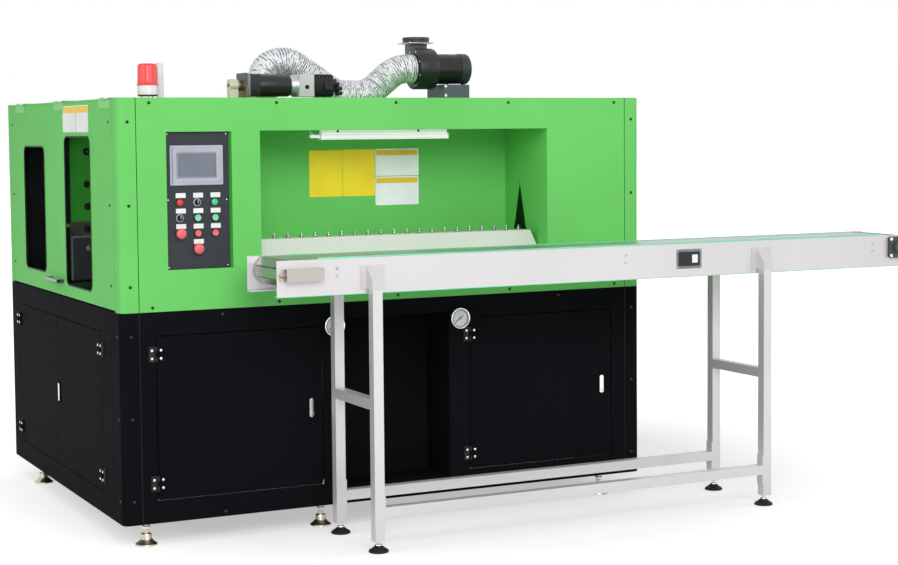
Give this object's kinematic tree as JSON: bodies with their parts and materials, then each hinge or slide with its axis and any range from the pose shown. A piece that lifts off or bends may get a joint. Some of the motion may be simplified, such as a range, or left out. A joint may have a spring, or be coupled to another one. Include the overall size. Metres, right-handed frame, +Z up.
{
  "type": "blow moulding machine",
  "caption": "Linear bottle blow moulding machine with gull-wing guards, a spindle chain, heating oven, clamp, roof blower and a slat conveyor in front.",
  "frame": {"origin": "on the floor, under the middle of the whole footprint of the cabinet and its conveyor", "axes": "+X to the right of someone who faces the control panel, along the conveyor; +Y into the cabinet; +Z up"},
  "size_m": [3.3, 2.2428, 1.92],
  "materials": {
    "green_paint": "satin",
    "black_paint": "satin",
    "frame_paint": "satin",
    "stainless": "brushed",
    "steel": "machined",
    "zinc": "satin",
    "chrome": "polished",
    "aluminium": "satin",
    "grey_plastic": "matte",
    "dark_plastic": "matte",
    "panel_grey": "satin",
    "white_plastic": "gloss",
    "red_plastic": "gloss",
    "green_plastic": "gloss",
    "rubber": "matte",
    "pane": "clear",
    "motor_grey": "satin",
    "bearing_iron": "matte"
  },
  "bodies": {
    "machine": {"machine_frame": "frame_paint", "upper_corner_posts": "green_paint", "lower_corner_posts": "black_paint", "upper_front_panel": "green_paint", "recess_liner": "green_paint", "roof_and_back_sheets": "green_paint", "lower_front_panel": "black_paint", "lower_panels": "black_paint", "machine_feet": "zinc", "control_panel": "panel_grey", "hmi_terminal": "grey_plastic", "operator_bodies": "chrome", "recess_lamp": "white_plastic", "pressure_gauges": "dark_plastic", "spindle_rail": "stainless", "spindles": "white_plastic", "spindle_chain": "steel", "beacon_base": "white_plastic", "beacon_lens": "red_plastic", "servo_gearmotor": "dark_plastic", "roof_brackets": "zinc", "aluminium_duct": "aluminium", "blower_scroll": "motor_grey", "blower_motor": "motor_grey", "heating_oven": "stainless", "clamp_frame": "steel", "cabinet_equipment": "motor_grey", "hinge_leaves": "black_paint", "conveyor_frame": "stainless", "slat_belt": "stainless", "wear_strips": "green_plastic", "conveyor_stand": "stainless", "leg_brackets": "stainless", "conveyor_feet": "dark_plastic", "shaft_bearings": "bearing_iron"},
    "gull_left": {"gull_door_left": "green_paint", "gull_left_glazing": "pane", "gull_left_fittings": "chrome"},
    "gull_right": {"gull_door_right": "green_paint"},
    "door_left": {"front_door_left": "black_paint"},
    "door_right": {"front_door_right": "black_paint"},
    "leaf_front": {"side_door_front": "black_paint"},
    "leaf_rear": {"side_door_rear": "black_paint"},
    "paddle_left": {"front_lock_left": "chrome"},
    "paddle_right": {"front_lock_right": "chrome"},
    "paddle_side": {"side_lock": "chrome"},
    "start_a": {"start_button_a": "green_plastic"},
    "start_b": {"start_button_b": "green_plastic"},
    "reset_a": {"reset_button_a": "red_plastic"},
    "reset_b": {"reset_button_b": "red_plastic"},
    "stop_a": {"stop_mushroom_a": "red_plastic"},
    "stop_b": {"stop_mushroom_b": "red_plastic"},
    "mode_knob": {"mode_selector": "dark_plastic"},
    "feed_knob": {"feed_selector": "dark_plastic"},
    "impeller": {"blower_impeller": "steel"},
    "lever": {"drive_lever": "zinc"},
    "platen": {"moving_platen": "steel"},
    "carriage": {"stretch_carriage": "steel"},
    "head_axle": {"head_shaft": "steel"},
    "tail_axle": {"tail_shaft": "steel"}
  },
  "joints": [
    {"name": "gull_left_hinge", "type": "hinge", "parent": "machine", "child": "gull_left", "pos_m": [-1.626, 0.1975, 1.647], "axis": [0, 1, 0], "range_deg": [0, 80]},
    {"name": "gull_right_hinge", "type": "hinge", "parent": "machine", "child": "gull_right", "pos_m": [0.606, 0.1975, 1.647], "axis": [0, -1, 0], "range_deg": [0, 80]},
    {"name": "front_left_hinge", "type": "hinge", "parent": "machine", "child": "door_left", "pos_m": [-1.4885, -0.6195, 0.472], "axis": [0, 0, -1], "range_deg": [0, 110]},
    {"name": "front_right_hinge", "type": "hinge", "parent": "machine", "child": "door_right", "pos_m": [-0.1985, -0.6195, 0.472], "axis": [0, 0, -1], "range_deg": [0, 110]},
    {"name": "side_front_hinge", "type": "hinge", "parent": "machine", "child": "leaf_front", "pos_m": [-1.626, -0.354, 0.472], "axis": [0, 0, 1], "range_deg": [0, 110]},
    {"name": "side_rear_hinge", "type": "hinge", "parent": "machine", "child": "leaf_rear", "pos_m": [-1.626, 0.944, 0.472], "axis": [0, 0, -1], "range_deg": [0, 110]},
    {"name": "paddle_left_pin", "type": "hinge", "parent": "door_left", "child": "paddle_left", "pos_m": [-0.879, -0.614, 0.498], "axis": [-1, 0, 0], "range_deg": [0, 40]},
    {"name": "paddle_right_pin", "type": "hinge", "parent": "door_right", "child": "paddle_right", "pos_m": [0.413, -0.614, 0.498], "axis": [-1, 0, 0], "range_deg": [0, 40]},
    {"name": "paddle_side_pin", "type": "hinge", "parent": "leaf_front", "child": "paddle_side", "pos_m": [-1.6205, 0.285, 0.498], "axis": [0, 1, 0], "range_deg": [0, 40]},
    {"name": "start_a_push", "type": "slide", "parent": "machine", "child": "start_a", "axis": [0, 1, 0], "range_m": [0, 0.004], "stiffness_N_per_m": 300},
    {"name": "start_b_push", "type": "slide", "parent": "machine", "child": "start_b", "axis": [0, 1, 0], "range_m": [0, 0.004], "stiffness_N_per_m": 300},
    {"name": "reset_a_push", "type": "slide", "parent": "machine", "child": "reset_a", "axis": [0, 1, 0], "range_m": [0, 0.004], "stiffness_N_per_m": 300},
    {"name": "reset_b_push", "type": "slide", "parent": "machine", "child": "reset_b", "axis": [0, 1, 0], "range_m": [0, 0.004], "stiffness_N_per_m": 300},
    {"name": "stop_a_push", "type": "slide", "parent": "machine", "child": "stop_a", "axis": [0, 1, 0], "range_m": [0, 0.005], "stiffness_N_per_m": 300},
    {"name": "stop_b_push", "type": "slide", "parent": "machine", "child": "stop_b", "axis": [0, 1, 0], "range_m": [0, 0.005], "stiffness_N_per_m": 300},
    {"name": "mode_turn", "type": "hinge", "parent": "machine", "child": "mode_knob", "pos_m": [-1.317, -0.5835, 1.263], "axis": [0, 1, 0], "range_deg": [-45, 45]},
    {"name": "feed_turn", "type": "hinge", "parent": "machine", "child": "feed_knob", "pos_m": [-1.384, -0.5835, 1.206], "axis": [0, 1, 0], "range_deg": [-45, 45]},
    {"name": "impeller_spin", "type": "hinge", "parent": "machine", "child": "impeller", "pos_m": [-0.098, 0.0065, 1.783], "axis": [1, 0, 0], "continuous": true},
    {"name": "lever_swing", "type": "hinge", "parent": "machine", "child": "lever", "pos_m": [-1.015, -0.1635, 1.705], "axis": [1, 0, 0], "range_deg": [-15, 15]},
    {"name": "clamp_close", "type": "slide", "parent": "machine", "child": "platen", "axis": [-1, 0, 0], "range_m": [0, 0.14]},
    {"name": "stretch_down", "type": "slide", "parent": "machine", "child": "carriage", "axis": [0, 0, -1], "range_m": [0, 0.1]},
    {"name": "head_spin", "type": "hinge", "parent": "machine", "child": "head_axle", "pos_m": [1.584, -0.9105, 1.0165], "axis": [0, 1, 0], "continuous": true},
    {"name": "tail_spin", "type": "hinge", "parent": "machine", "child": "tail_axle", "pos_m": [-1.11, -0.9105, 1.0165], "axis": [0, 1, 0], "continuous": true}
  ],
  "couplings": [
    {"joint": "tail_spin", "follows": "head_spin", "ratio": 1}
  ]
}
